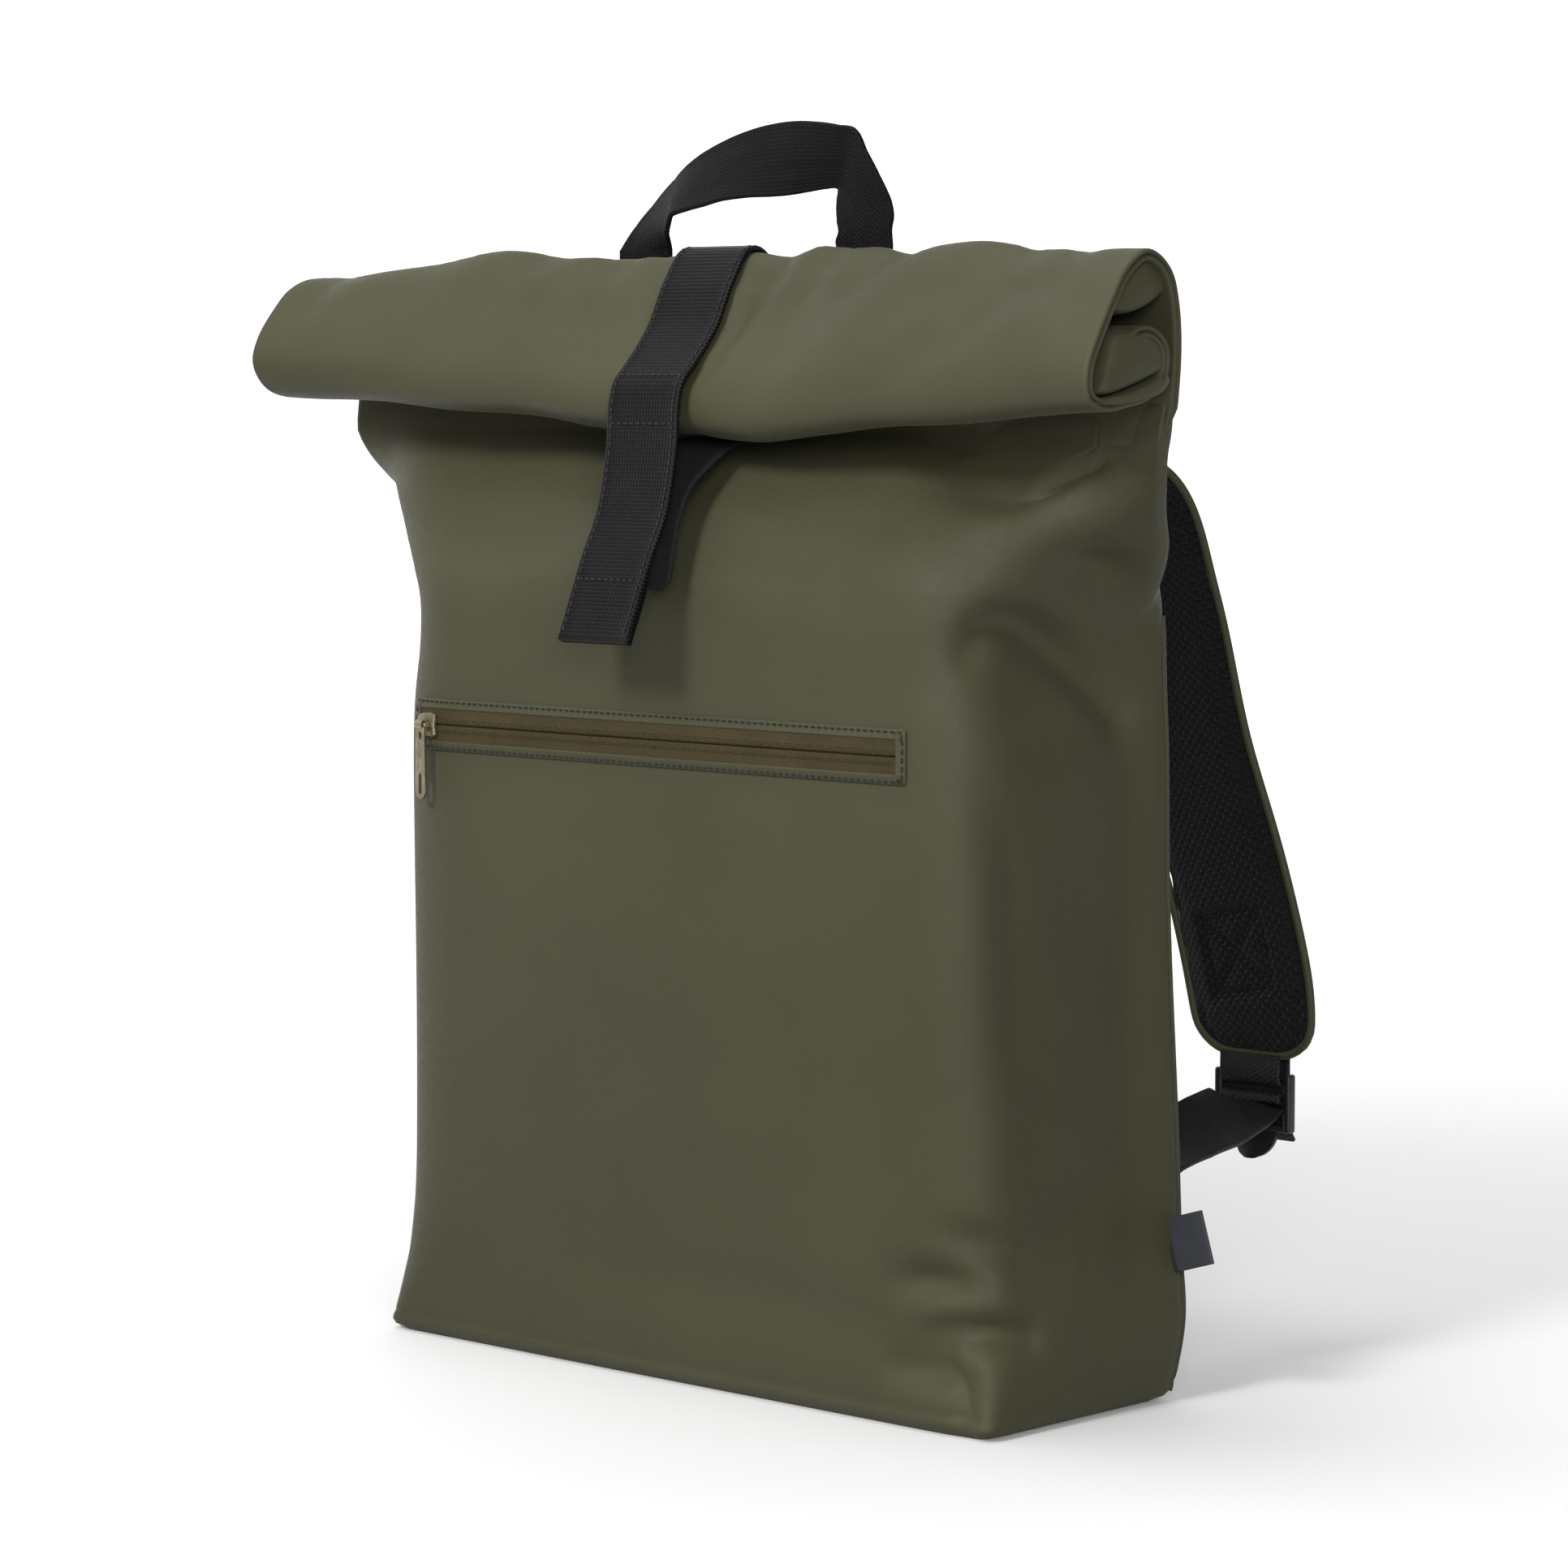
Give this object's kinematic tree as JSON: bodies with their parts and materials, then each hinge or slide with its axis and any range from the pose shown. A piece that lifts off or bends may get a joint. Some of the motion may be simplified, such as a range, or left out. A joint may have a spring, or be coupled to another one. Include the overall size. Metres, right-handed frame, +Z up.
{
  "type": "rolltop backpack",
  "caption": "Rolltop backpack in coated fabric with a rolled mouth held by a webbing strap, a front zip pocket, a grab handle and padded shoulder straps.",
  "frame": {"origin": "middle of the flat base, on the surface that the bag stands on", "axes": "+Z up from the base to the rolled top, -Y out of the front panel with the zip, +Y out of the back with the shoulder straps, +X to the right seen from the front"},
  "size_m": [0.434, 0.2672, 0.4937],
  "materials": {
    "coated_fabric": "matte olive coated fabric with a soft sheen",
    "webbing": "black woven webbing with a herringbone weave",
    "air_mesh": "black spacer mesh with an olive coated edge and outer side",
    "zip_tape": "brown-olive woven zip tape",
    "zip_metal": "dark antique brass",
    "buckle_plastic": "black moulded plastic",
    "label": "charcoal woven label"
  },
  "bodies": {
    "bag": {"bag_shell": "coated_fabric", "rolled_top": "coated_fabric", "closure_strap": "webbing", "closure_loop_tape": "webbing", "zip_welt": "coated_fabric", "zip_tape_upper": "zip_tape", "zip_tape_lower": "zip_tape", "zip_slider": "zip_metal", "back_yoke": "coated_fabric", "grab_handle": "webbing", "side_label": "label", "shoulder_pad_right": "air_mesh", "shoulder_pad_left": "air_mesh", "buckle_keeper_right": "webbing", "buckle_keeper_left": "webbing", "strap_buckle_right": "buckle_plastic", "strap_buckle_left": "buckle_plastic", "strap_webbing_right": "webbing", "strap_webbing_left": "webbing", "strap_anchor_right": "coated_fabric", "strap_anchor_left": "coated_fabric"},
    "zip_pull": {"zip_pull": "zip_metal"}
  },
  "joints": [
    {"name": "zip_pull_swing", "type": "hinge", "parent": "bag", "child": "zip_pull", "pos_m": [-0.12948, -0.06633, 0.254], "axis": [-0.9832, 0.1824, 0], "range_deg": [0, 170]}
  ]
}
